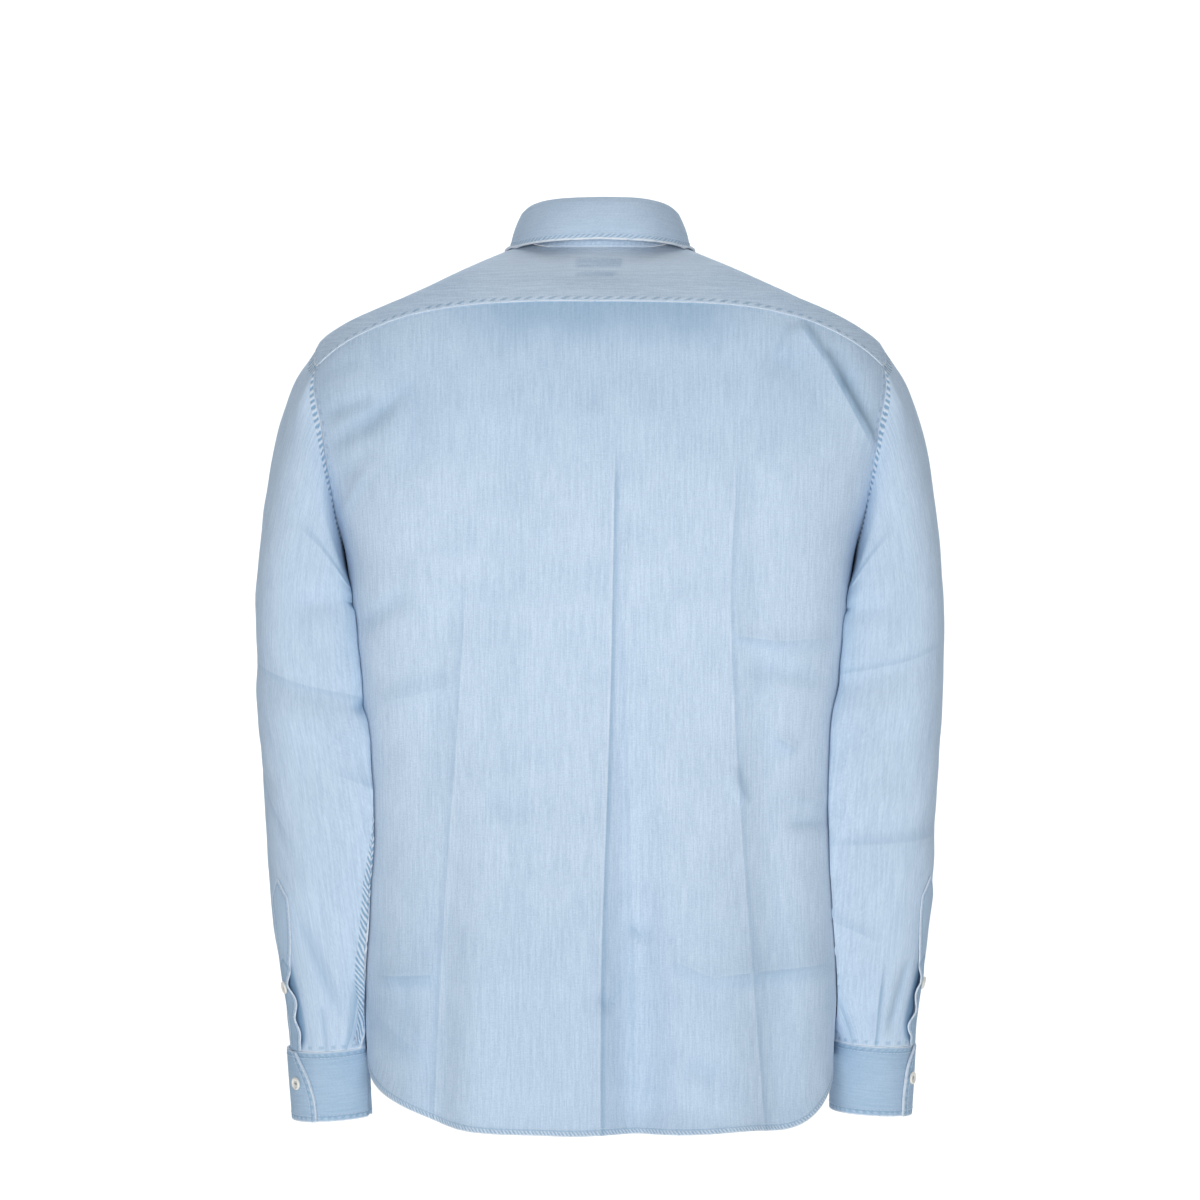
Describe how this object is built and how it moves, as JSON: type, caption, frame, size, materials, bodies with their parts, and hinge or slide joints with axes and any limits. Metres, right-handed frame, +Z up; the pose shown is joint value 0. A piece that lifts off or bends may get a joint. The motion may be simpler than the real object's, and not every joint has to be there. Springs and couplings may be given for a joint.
{
  "type": "denim shirt",
  "caption": "Long-sleeved light denim shirt, buttoned, in worn form: yoke, stand collar with leaf, plackets, cuffs and shirt-tail hem.",
  "frame": {"origin": "middle of the neck opening, level with the points where the neck and shoulder lines meet, where a wearer's neck or a hanger holds the shirt", "axes": "+Z up, -Y out of the buttoned front, +X towards the wearer's left arm"},
  "size_m": [0.5887, 0.2556, 0.7834],
  "materials": {
    "cloth": "pale washed denim, matt",
    "button": "off-white, polished"
  },
  "bodies": {
    "root": {"back": "cloth", "yoke": "cloth", "front_left": "cloth", "front_right": "cloth", "collar_stand": "cloth", "collar_fall": "cloth", "sleeve_left": "cloth", "sleeve_right": "cloth", "sleeve_placket_left": "cloth", "sleeve_placket_right": "cloth", "cuff_left": "cloth", "cuff_right": "cloth", "button_collar": "button", "button_front_1": "button", "button_front_2": "button", "button_front_3": "button", "button_front_4": "button", "button_front_5": "button", "button_front_6": "button", "button_placket_left": "button", "button_placket_right": "button", "button_cuff_left": "button", "button_cuff_right": "button"}
  },
  "joints": []
}
